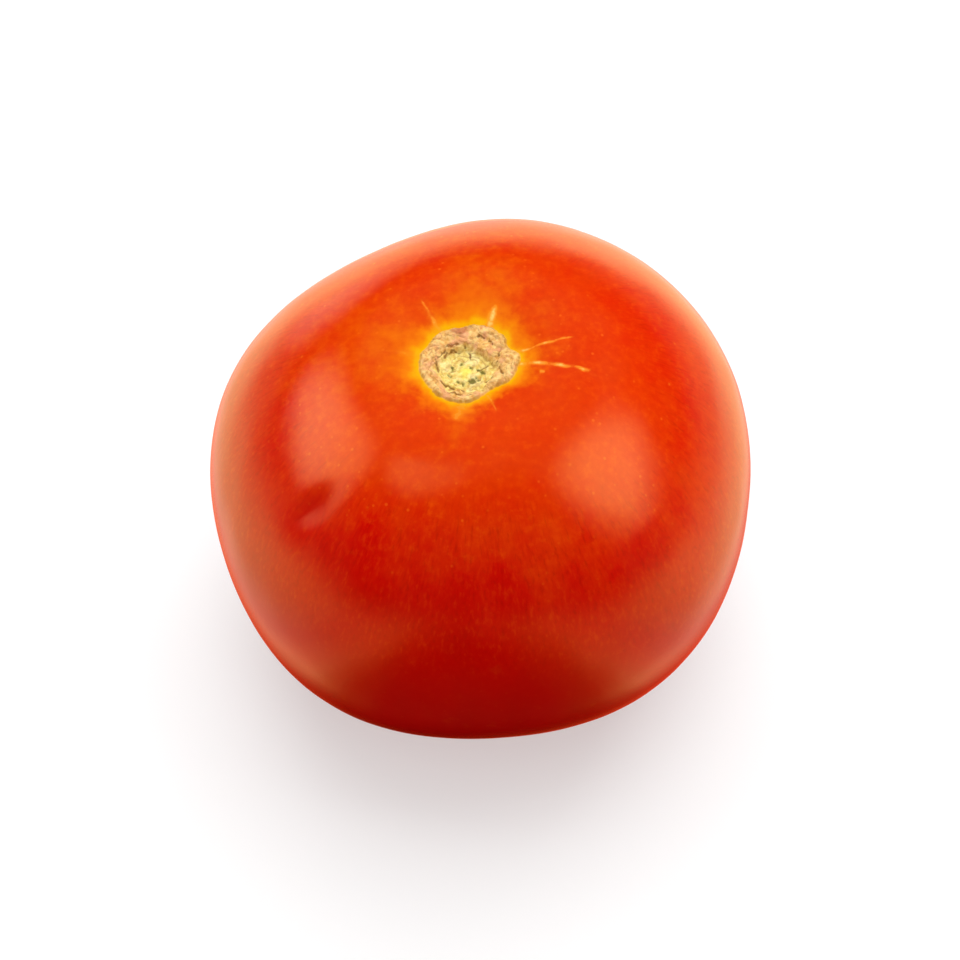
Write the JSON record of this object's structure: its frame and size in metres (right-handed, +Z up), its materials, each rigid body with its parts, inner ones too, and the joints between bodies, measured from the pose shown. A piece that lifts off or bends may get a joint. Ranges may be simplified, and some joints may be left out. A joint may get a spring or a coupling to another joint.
{
  "type": "tomato",
  "caption": "Whole ripe round tomato without its calyx, with a corky stem scar on top, resting on a small flat spot at its blossom end.",
  "frame": {"origin": "on the surface that the fruit rests on, under the middle of its box", "axes": "+Z up, towards the stem end; +X to the right and -Y to the front, and the stem end leans 3.4 degrees towards -X"},
  "size_m": [0.0756, 0.0758, 0.0612],
  "materials": {
    "skin": "satin"
  },
  "bodies": {
    "root": {"tomato": "skin"}
  },
  "joints": []
}
